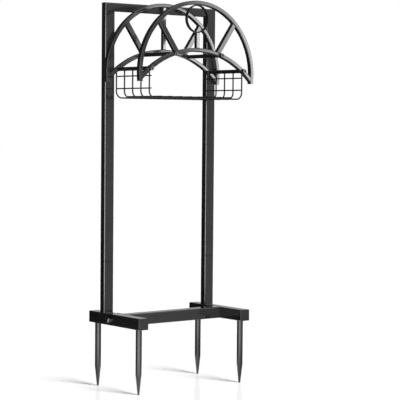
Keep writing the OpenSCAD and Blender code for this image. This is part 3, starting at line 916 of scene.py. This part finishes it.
class HOSEHOLDER_OT_hidden_nuts(bpy.types.Operator):
    """Plates the nuts that sit inside the feet and the rear arch"""
    bl_idname = "hose_holder.hidden_nuts"
    bl_label = "Plate the Hidden Nuts"

    def execute(self, context):
        dress_nodes(PLATED_NODES, hardware_finish("zinc_plating"))
        return {"FINISHED"}


class HOSEHOLDER_OT_rod_screws(bpy.types.Operator):
    """Makes the four cap screws that hold the front arch on its rods"""
    bl_idname = "hose_holder.rod_screws"
    bl_label = "Make the Rod Screws"

    def execute(self, context):
        low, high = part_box("rod_bolts")
        head = high.x - low.x - 2*middle_of("rod_lower_right").x
        head_height = HOOP_LOW.y - low.y
        shape = bmesh.new()
        for rod in RODS:
            middle = middle_of(rod)
            where = along((middle.x, low.y, middle.z), (0, 1, 0))
            add_cap_screw(shape, where, head, head_height, ROD_SCREW, high.y - low.y - head_height)
        finish_black_screws("rod_cap_screws", shape, "rod_bolts")
        return {"FINISHED"}


class HOSEHOLDER_OT_foot_screws(bpy.types.Operator):
    """Makes the domed screws, washers and nuts that hold the cross bar between the feet"""
    bl_idname = "hose_holder.foot_screws"
    bl_label = "Make the Foot Screws"

    def execute(self, context):
        low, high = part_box("foot_bolts")
        washer_low, washer_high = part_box("foot_washers")
        nut_low, nut_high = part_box("foot_bolt_nuts")
        middle = (low + high)/2
        head = high.z - low.z
        head_height = high.x - washer_high.x
        thickness = washer_high.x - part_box("foot_right")[1].x
        washer = washer_high.z - washer_low.z
        plate_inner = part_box("cross_bar")[1].x
        flats = min(nut_high.y - nut_low.y, nut_high.z - nut_low.z)
        length = high.x - head_height - (plate_inner - FOOT_NUT_HEIGHT - SCREW_END)
        screws, washers, nuts = bmesh.new(), bmesh.new(), bmesh.new()
        for side in SIDES:
            inward = (-side, 0, 0)
            start = (side*high.x, middle.y, middle.z)
            add_domed_screw(screws, along(start, inward), head, head_height, FOOT_SCREW, length)
            seat = (side*washer_high.x, middle.y, middle.z)
            add_washer(washers, along(seat, inward), washer, FOOT_SCREW + WASHER_PLAY, thickness)
            plate = (side*plate_inner, middle.y, middle.z)
            add_hexagon(nuts, along(plate, inward), flats, FOOT_NUT_HEIGHT,
                        FOOT_SCREW + 2*THREAD_GAP, chamfer_both=True)
        finish_black_screws("foot_domed_screws", screws, "foot_bolts")
        finish_black_screws("foot_screw_washers", washers, "foot_washers")
        finish_piece("foot_screw_nuts", nuts, hardware_finish("zinc_plating"),
                     ["foot_bolt_nuts"])
        return {"FINISHED"}


class HOSEHOLDER_OT_back_screws(bpy.types.Operator):
    """Makes the flanged bolts of the rear arch and the screws of the post joints"""
    bl_idname = "hose_holder.back_screws"
    bl_label = "Make the Back Screws"

    def execute(self, context):
        post_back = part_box("upper_post_right")[1].y
        low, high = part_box("head_bolts")
        post = middle_of("upper_post_right").x
        nut_low, nut_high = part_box("head_rivet_nuts")
        nut_radius = nut_high.x - post
        flange = 2*(high.x - post)
        shank = HEAD_BOLT/2
        tip = low.y - post_back
        bolts = bmesh.new()
        for side in SIDES:
            for z in (nut_low.z + nut_radius, nut_high.z - nut_radius):
                seat = along((side*post, post_back, z), (0, 1, 0))
                rings = [
                    (tip, shank - 0.5*MM), (tip + 0.5*MM, shank), (0, shank),
                    (0, flange/2 - 0.2*MM), (0.4*MM, flange/2), (0.7*MM, flange/2),
                    (FLANGE_THICKNESS, flange/2 - 0.9*MM),
                ]
                turned(bolts, seat, rings, ROUND_COUNT, tip, FLANGE_THICKNESS)
                head = along((side*post, post_back + FLANGE_THICKNESS, z), (0, 1, 0))
                add_hexagon(
                    bolts, head, FLANGE_HEXAGON, high.y - post_back - FLANGE_THICKNESS)
        finish_black_screws("arch_flange_bolts", bolts, "head_bolts")
        low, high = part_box("sleeve_screws")
        middle = (low + high)/2
        head = high.z - low.z
        head_height = high.y - post_back
        screws = bmesh.new()
        for side in SIDES:
            start = along((side*post, high.y, middle.z), (0, -1, 0))
            add_cap_screw(screws, start, head, head_height, SLEEVE_SCREW, post_back - low.y,
                          knurled=False)
        finish_black_screws("joint_cap_screws", screws, "sleeve_screws")
        return {"FINISHED"}


class HOSEHOLDER_OT_frame_welds(bpy.types.Operator):
    """Lays the weld beads at the posts' feet, the cross bar and the top corners"""
    bl_idname = "hose_holder.frame_welds"
    bl_label = "Weld the Frame"

    def execute(self, context):
        radius = context.scene.hose_holder_welds.base_bead
        low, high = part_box("lower_post_right")
        bar_low, bar_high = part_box("cross_bar")
        top_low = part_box("top_bar")[0]
        shape = bmesh.new()
        for side in SIDES:
            for y in (low.y, high.y):
                run = [(side*(low.x + BEAD_INSET), y, low.z),
                       (side*(high.x - BEAD_INSET), y, low.z)]
                add_bead(shape, run, radius, (0, 0, 1))
            corner = [(side*bar_high.x, bar_high.y, bar_low.z + BEAD_INSET),
                      (side*bar_high.x, bar_high.y, bar_high.z - BEAD_INSET)]
            add_bead(shape, corner, radius, (1, 0, 0))
            corner = [(side*low.x, low.y + BEAD_INSET, top_low.z),
                      (side*low.x, high.y - BEAD_INSET, top_low.z)]
            add_bead(shape, corner, CORNER_BEAD*radius, (1, 0, 0))
        finish_piece("frame_weld_beads", shape, powder_coat())
        return {"FINISHED"}


class HOSEHOLDER_OT_arch_welds(bpy.types.Operator):
    """Lays the weld beads round the spokes, the ring and the ends of the saddle arcs"""
    bl_idname = "hose_holder.arch_welds"
    bl_label = "Weld the Arches"

    def slanted_spoke(self, shape, side, y, radius):
        """Beads at both ends of a slanted spoke."""
        foot_x = middle_of("rod_upper_right").x - SPOKE_SET
        foot_z = SADDLE_HEIGHT + math.sqrt(SADDLE_RADIUS**2 - foot_x**2)
        run_x, run_z = math.sin(SPOKE_LEAN), math.cos(SPOKE_LEAN)
        for height, reach in ((HOOP_HEIGHT, HOOP_IN), (SADDLE_HEIGHT, SADDLE_RADIUS)):
            path = []
            for u, v in section_loop(SPOKE_WIDTH, SPOKE_DEPTH, SPOKE_CORNER):
                x, z = meet_circle(foot_x + u*run_z, foot_z - u*run_x, run_x, run_z, height, reach)
                path.append((side*x, y + v, z))
            add_bead(shape, path, radius, (side*run_x, 0, run_z), closed=True)

    def middle_spoke(self, shape, y, radius, top):
        """Beads at both ends of a middle spoke; top gives the height of its upper end."""
        for reach in (lambda u: SADDLE_HEIGHT + math.sqrt(SADDLE_RADIUS**2 - u*u), top):
            section = section_loop(MIDDLE_SPOKE, MIDDLE_SPOKE, SPOKE_CORNER)
            path = [(u, y + v, reach(u)) for u, v in section]
            add_bead(shape, path, radius, (0, 0, 1), closed=True)

    def execute(self, context):
        radius = context.scene.hose_holder_welds.tube_bead
        half = ARCH_DEPTH/2 - BEAD_INSET
        shape = bmesh.new()
        for y in (FRONT_ARCH, REAR_ARCH):
            for side in SIDES:
                self.slanted_spoke(shape, side, y, radius)
                for arc in (SADDLE_IN, SADDLE_RADIUS):
                    x, z = circles_meet(arc)
                    run = [(side*x, y - half, z), (side*x, y + half, z)]
                    add_bead(shape, run, radius, (1, 0, 0))
        self.middle_spoke(
            shape, REAR_ARCH, radius, lambda u: HOOP_HEIGHT + math.sqrt(HOOP_IN**2 - u*u))
        self.middle_spoke(
            shape, FRONT_ARCH, LIGHT_BEAD*radius,
            lambda u: RING_HEIGHT - math.sqrt(RING_RADIUS**2 - u*u))
        ring_low, ring_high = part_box("front_ring")
        for side in SIDES:
            z = HOOP_HEIGHT + math.sqrt(HOOP_IN**2 - RING_BEAD_SET**2)
            run = [(side*RING_BEAD_SET, ring_low.y + 1*MM, z),
                   (side*RING_BEAD_SET, ring_high.y - 1*MM, z)]
            add_bead(shape, run, LIGHT_BEAD*radius, (1, 0, 0))
        finish_piece("arch_weld_beads", shape, powder_coat())
        return {"FINISHED"}


class HOSEHOLDER_OT_rod_welds(bpy.types.Operator):
    """Lays a weld bead round the rear end of each rod"""
    bl_idname = "hose_holder.rod_welds"
    bl_label = "Weld the Rods"

    def execute(self, context):
        radius = context.scene.hose_holder_welds.tube_bead
        shape = bmesh.new()
        for rod in RODS:
            low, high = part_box(rod)
            middle = (low + high)/2
            reach = (high.x - low.x)/2
            path = [(middle.x + reach*math.cos(a), high.y, middle.z + reach*math.sin(a))
                    for a in round_angles(ROD_STEPS)]
            add_bead(shape, path, radius, (0, 1, 0), closed=True)
        finish_piece("rod_weld_beads", shape, powder_coat())
        return {"FINISHED"}


class HOSEHOLDER_OT_basket_welds(bpy.types.Operator):
    """Fuses the basket's wires where they cross and where they hang from the rods"""
    bl_idname = "hose_holder.basket_welds"
    bl_label = "Weld the Basket"

    def crossing(self, shape, point, turn):
        """Small flattened lump of melt between two crossing wires."""
        where = Matrix.Translation(point) @ turn @ Matrix.Diagonal((*MELT_REACH, 1))
        angles = [math.pi*i/MELT_STEPS for i in range(1, MELT_STEPS)]
        turned(shape, where, [(math.cos(a), math.sin(a)) for a in angles], MELT_SIDES, 1, -1)

    def execute(self, context):
        bead = context.scene.hose_holder_welds.wire_bead
        low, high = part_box("basket_side_wires")
        side_x = high.x - WIRE_RADIUS
        side_heights = (low.z + WIRE_RADIUS, high.z - WIRE_RADIUS)
        floor_low, floor_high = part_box("basket_floor_wires")
        floor_step = (floor_high.x - floor_low.x - 2*WIRE_RADIUS)/(FLOOR_WIRES - 1)
        floor_height = (floor_low.z + floor_high.z)/2
        lumps, collars = bmesh.new(), bmesh.new()
        flat = Matrix.Identity(4)
        upright = Matrix.Rotation(math.pi/2, 4, "Y")
        for number in range(1, BENT_WIRES + 1):
            bent_low, bent_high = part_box(f"basket_bent_wire_{number}")
            bent = (bent_high.y - bent_low.y)/2
            y = (bent_low.y + bent_high.y)/2
            leg_x = bent_high.x - bent
            for side in SIDES:
                for z in side_heights:
                    point = (side*(leg_x + side_x)/2, y, z)
                    self.crossing(lumps, point, upright)
            for i in range(FLOOR_WIRES):
                x = floor_low.x + WIRE_RADIUS + i*floor_step
                point = (x, y, (bent_low.z + bent + floor_height)/2)
                self.crossing(lumps, point, flat)
            for side in SIDES:
                path = []
                for angle in round_angles(WIRE_STEPS):
                    x = leg_x + bent*math.cos(angle)
                    z = self.underside(number, x, bent*math.sin(angle), leg_x)
                    path.append((side*x, y + bent*math.sin(angle), z))
                add_bead(collars, path, bead, (0, 0, 1), closed=True)
        finish_piece("basket_crossing_welds", lumps, wire_coat())
        finish_piece("basket_leg_welds", collars, wire_coat())
        return {"FINISHED"}

    def underside(self, number, x, y, leg_x):
        """Height at which a leg's skin meets what it hangs from: an arc, or a lower rod."""
        if number in (1, BENT_WIRES):
            return SADDLE_HEIGHT + math.sqrt(SADDLE_IN**2 - x*x)
        low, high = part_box("rod_lower_right")
        radius = (high.x - low.x)/2
        return (low.z + high.z)/2 - math.sqrt(radius**2 - (x - leg_x)**2)


def group_of(name, nodes, pieces=()):
    """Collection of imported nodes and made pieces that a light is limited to."""
    held = bpy.data.collections.new(name)
    for node in nodes:
        held.objects.link(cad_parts[node])
    for piece in pieces:
        held.objects.link(bpy.data.objects[piece])
    return held


def key_light(direction, width, level, casters):
    """Soft light from far off; width is the angle that it fills, casters throw its shadows."""
    data = bpy.data.lights.new("key_light", "SUN")
    data.energy = level
    data.angle = width
    light = add_object("key_light", data)
    light.rotation_euler = (-Vector(direction)).to_track_quat("-Z", "Y").to_euler()
    light.visible_glossy = False
    light.light_linking.blocker_collection = casters


def softbox(name, place, target, size, glow, shown_by=None):
    """Rectangle of light that faces target and shows in reflections only, of shown_by if given."""
    data = bpy.data.lights.new(name, "AREA")
    data.shape = "RECTANGLE"
    data.size, data.size_y = size
    data.energy = glow*math.pi*size[0]*size[1]
    light = add_object(name, data)
    light.location = place
    facing = Vector(target) - Vector(place)
    light.rotation_euler = facing.to_track_quat("-Z", "Y").to_euler()
    light.visible_camera = False
    light.visible_diffuse = False
    light.light_linking.receiver_collection = shown_by


def floor_material(colour, gloss):
    """Pale matt floor with a faint sheen.

    In reflections it is a painted glow instead, with the brightness of the surroundings on its side
    of the stand and painted shade behind and near the stand."""
    material = bpy.data.materials.new("studio_floor")
    material.use_nodes = True
    tree = material.node_tree
    tree.nodes.clear()
    matt = place_node(tree, "BsdfDiffuse", Color=(*colour, 1))
    sheen = place_node(tree, "BsdfGlossy", Color=WHITE, Roughness=SHEEN_ROUGHNESS)
    blend = mix_shaders(tree, gloss, matt.outputs[0], sheen.outputs[0])
    place = object_place(tree)
    aside = vector_math(tree, "SUBTRACT", place, FLOOR_CENTRE).outputs["Vector"]
    far = vector_math(tree, "LENGTH", aside).outputs["Value"]
    # Painted shade in the floor's glow: darker near the stand and behind it, with a lighter band
    # across
    near = calculate(tree, "SUBTRACT", 1.0, soft_step(tree, far, *NEAR_REACH))
    reach = facing_share(tree, place, BEHIND)
    band = calculate(tree, "SUBTRACT", soft_step(tree, reach, *BAND_START),
                     soft_step(tree, reach, *BAND_END))
    behind = calculate(tree, "SUBTRACT", soft_step(tree, reach, *BEHIND_REACH), band)
    dark = calculate(tree, "ADD", calculate(tree, "MULTIPLY", behind, BEHIND_PAINTED_SHADE),
                     calculate(tree, "MULTIPLY", near, NEAR_PAINTED_SHADE))
    shade = calculate(tree, "SUBTRACT", 1.0, dark, clamp=True)
    bright = place_surroundings(tree, aside)
    # Painted glow: seen in reflections, the floor is this emission
    mirrored = place_node(tree, "Emission", Color=calculate(tree, "MULTIPLY", bright, shade))
    path = place_node(tree, "LightPath")
    choice = mix_shaders(tree, path.outputs["Is Glossy Ray"], blend, mirrored.outputs[0])
    place_node(tree, "OutputMaterial", Surface=choice)
    return material


def flat_panel(name, place, direction, width, height, material):
    """Upright or level rectangle that faces direction."""
    shape = bmesh.new()
    where = along(place, direction)
    corners = [(-1, -1), (1, -1), (1, 1), (-1, 1)]
    shape.faces.new(add_ring(
        shape, [where @ Vector((u*width/2, v*height/2, 0)) for u, v in corners]))
    panel = add_object(name, mesh_of(name, shape, material))


def studio_world(level):
    """White backdrop, an even room light on the stand, and the surroundings that it mirrors."""
    world = bpy.data.worlds.new("studio_world")
    bpy.context.scene.world = world
    world.use_nodes = True
    tree = world.node_tree
    tree.nodes.clear()
    room = place_node(tree, "Background", Color=WHITE, Strength=level)
    backdrop = place_node(tree, "Background", Color=WHITE)
    direction = place_node(tree, "TexCoord").outputs["Generated"]
    mirrored = place_node(tree, "Background", Color=place_surroundings(tree, direction))
    path = place_node(tree, "LightPath")
    seen = calculate(tree, "MAXIMUM", path.outputs["Is Camera Ray"],
                     path.outputs["Is Transmission Ray"])
    shown = mix_shaders(
        tree, path.outputs["Is Glossy Ray"], room.outputs[0], mirrored.outputs[0])
    shown = mix_shaders(tree, seen, shown, backdrop.outputs[0])
    place_node(tree, "OutputWorld", Surface=shown)


def studio_camera():
    """Camera at the photograph's place, looking at the stand from its left front."""
    level = Vector((math.cos(CAMERA_AZIMUTH), -math.sin(CAMERA_AZIMUTH), 0))
    forward = Vector((math.sin(CAMERA_AZIMUTH), math.cos(CAMERA_AZIMUTH), 0))
    ahead = math.cos(CAMERA_PITCH)*forward - math.sin(CAMERA_PITCH)*Vector((0, 0, 1))
    up = level.cross(ahead)
    right = math.cos(CAMERA_ROLL)*level + math.sin(CAMERA_ROLL)*up
    up = math.cos(CAMERA_ROLL)*up - math.sin(CAMERA_ROLL)*level
    data = bpy.data.cameras.new("studio_camera")
    data.sensor_width = CAMERA_SENSOR
    data.lens = CAMERA_LENS
    camera = add_object("studio_camera", data)
    turn = Matrix((right, up, -ahead)).transposed().to_4x4()
    camera.matrix_world = Matrix.Translation(CAMERA_PLACE) @ turn
    bpy.context.scene.camera = camera


class HOSEHOLDER_OT_studio(bpy.types.Operator):
    """Sets up the floor, the surroundings, the lights and the camera"""
    bl_idname = "hose_holder.studio"
    bl_label = "Set Up the Studio"

    def execute(self, context):
        studio = context.scene.hose_holder_studio
        studio_camera()
        studio_world(studio.room_light)
        floor = floor_material(studio.floor_colour, studio.floor_sheen)
        flat_panel("studio_floor", (0, 0, 0), (0, 0, 1), FLOOR_WIDTH, FLOOR_WIDTH, floor)
        key_light(KEY, KEY_WIDTH, studio.key_level, group_of("shadow_casters", SPIKES))
        arches = group_of("arches", ARCH_NODES, ["rod_cap_screws"])
        back = Vector((0, 1, 0))
        for number, (left, share) in enumerate(STRIPS, 1):
            place = Vector((
                (left + STRIP_RIGHT)/2, STRIP_FRONT - STRIP_SPACING*number, STRIP_LEVEL))
            softbox(f"arch_softbox_{number}", place, place + back,
                    (STRIP_RIGHT - left, STRIP_HEIGHT), share*studio.arch_glow, arches)
        place = Vector((SPOKE_BOX_ACROSS, STRIP_FRONT, STRIP_LEVEL))
        softbox("spoke_softbox", place, place + back, (SPOKE_BOX_WIDTH, STRIP_HEIGHT),
                studio.spoke_glow, group_of("middle_spokes", MIDDLE_SPOKES))
        place = CORNER_BOX_AWAY*Vector(CAMERA_SIDE) + Vector((0, 0, CORNER_BOX_LEVEL))
        softbox("corner_softbox", place, place - Vector(CAMERA_SIDE), CORNER_BOX_SIZE,
                studio.corner_glow, group_of("square_tubes", SQUARE_TUBES))
        context.scene.view_settings.view_transform = "Standard"
        return {"FINISHED"}


class HOSEHOLDER_PT_panel(bpy.types.Panel):
    """Lists the stand's sizes, colours and making steps"""
    bl_idname = "HOSEHOLDER_PT_panel"
    bl_label = "Hose Holder"
    bl_space_type = "VIEW_3D"
    bl_region_type = "UI"
    bl_category = "Hose Holder"

    def draw(self, context):
        layout = self.layout
        for values in GROUPS:
            held = getattr(context.scene, values)
            box = layout.box()
            for label in held.__annotations__:
                box.prop(held, label)
        for operator in OPERATORS:
            layout.operator(operator.bl_idname)


GROUPS = {
    "hose_holder_finish": HoseHolderFinish,
    "hose_holder_welds": HoseHolderWelds,
    "hose_holder_screws": HoseHolderScrews,
    "hose_holder_studio": HoseHolderStudio,
}
OPERATORS = (
    HOSEHOLDER_OT_coated_frame, HOSEHOLDER_OT_end_caps, HOSEHOLDER_OT_hidden_nuts,
    HOSEHOLDER_OT_rod_screws, HOSEHOLDER_OT_foot_screws, HOSEHOLDER_OT_back_screws,
    HOSEHOLDER_OT_frame_welds, HOSEHOLDER_OT_arch_welds, HOSEHOLDER_OT_rod_welds,
    HOSEHOLDER_OT_basket_welds, HOSEHOLDER_OT_studio,
)


def register():
    """Adds the stand's values, operators and panel to Blender."""
    for name, group in GROUPS.items():
        bpy.utils.register_class(group)
        setattr(bpy.types.Scene, name, PointerProperty(type=group))
    for operator in OPERATORS:
        bpy.utils.register_class(operator)
    bpy.utils.register_class(HOSEHOLDER_PT_panel)


def unregister():
    """Takes them out again."""
    bpy.utils.unregister_class(HOSEHOLDER_PT_panel)
    for operator in reversed(OPERATORS):
        bpy.utils.unregister_class(operator)
    for name, group in reversed(GROUPS.items()):
        delattr(bpy.types.Scene, name)
        bpy.utils.unregister_class(group)


def main():
    register()
    surface_grain_group()
    settled_dust_group()
    surroundings_group()
    bpy.ops.hose_holder.coated_frame()
    bpy.ops.hose_holder.end_caps()
    bpy.ops.hose_holder.hidden_nuts()
    bpy.ops.hose_holder.rod_screws()
    bpy.ops.hose_holder.foot_screws()
    bpy.ops.hose_holder.back_screws()
    bpy.ops.hose_holder.frame_welds()
    bpy.ops.hose_holder.arch_welds()
    bpy.ops.hose_holder.rod_welds()
    bpy.ops.hose_holder.basket_welds()
    bpy.ops.hose_holder.studio()


if __name__ == "__main__":
    main()
